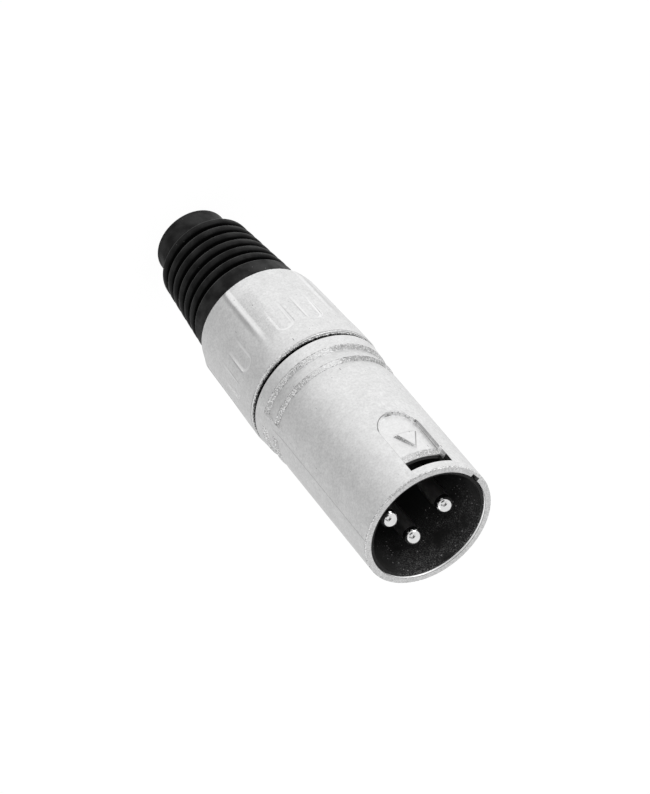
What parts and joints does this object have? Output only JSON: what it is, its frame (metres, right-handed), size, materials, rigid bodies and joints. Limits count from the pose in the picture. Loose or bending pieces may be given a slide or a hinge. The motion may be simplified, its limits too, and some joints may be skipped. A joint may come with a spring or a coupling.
{
  "type": "xlr plug",
  "caption": "Round male cable plug with a satin nickel shell, latch window, recessed pins, a screwed bushing with a fluted grip and a ribbed black rubber boot.",
  "frame": {"origin": "on the axis, at the flat rear end of the boot", "axes": "+Z along the axis towards the mating face, -Y towards the latch window, +X towards contact 1"},
  "size_m": [0.02, 0.02, 0.0681],
  "materials": {
    "nickel": "satin nickel plate over die-cast zinc, finely grained",
    "black_plastic": "matte moulded plastic",
    "chuck_plastic": "matte moulded plastic",
    "contact_metal": "bright plated brass",
    "rubber": "matte black rubber"
  },
  "bodies": {
    "housing": {"shell": "nickel", "insert": "black_plastic", "pin_1": "contact_metal", "pin_2": "contact_metal", "pin_3": "contact_metal", "ground_lug": "contact_metal", "chuck": "chuck_plastic"},
    "boot": {"boot": "rubber"},
    "bushing": {"bushing": "nickel"}
  },
  "joints": [
    {"name": "boot_slide", "type": "slide", "parent": "housing", "child": "boot", "axis": [0, 0, -1], "range_m": [0, 0.006]},
    {"name": "bushing_turn", "type": "hinge", "parent": "boot", "child": "bushing", "pos_m": [0, 0, 0.029], "axis": [0, 0, -1], "range_deg": [0, 1440]}
  ],
  "couplings": [
    {"joint": "boot_slide", "follows": "bushing_turn", "m_per_rad": 0.00023873}
  ]
}
